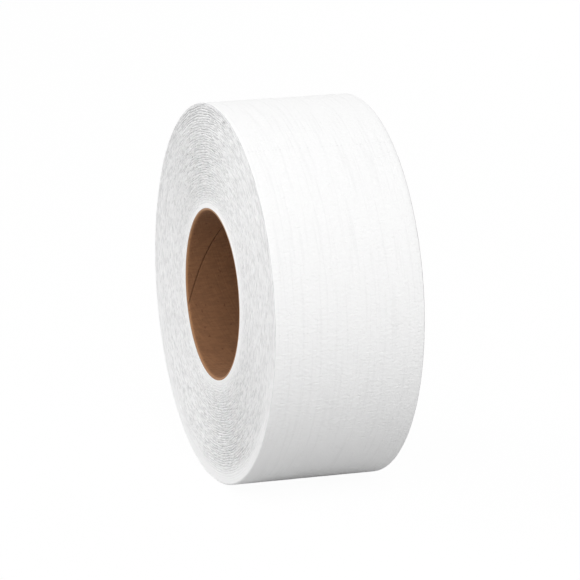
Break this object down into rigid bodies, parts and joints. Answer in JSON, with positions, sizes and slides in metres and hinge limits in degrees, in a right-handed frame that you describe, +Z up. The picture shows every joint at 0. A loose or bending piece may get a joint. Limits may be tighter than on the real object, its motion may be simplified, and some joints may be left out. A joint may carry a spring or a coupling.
{
  "type": "toilet paper roll",
  "caption": "Wide white roll of soft tissue wound round a large open cardboard tube, standing on a small flat spot on its tread.",
  "frame": {"origin": "the middle of the tube's bore, on the roll's axis", "axes": "+Y along the roll's axis, away from the pictured end; +Z up, with the roll on its tread; +X to the right of the pictured end"},
  "size_m": [0.2262, 0.0918, 0.2255],
  "materials": {
    "tissue": "soft white creped tissue",
    "core_board": "plain brown wound board"
  },
  "bodies": {
    "root": {"tissue_roll": "tissue", "core": "core_board"}
  },
  "joints": []
}
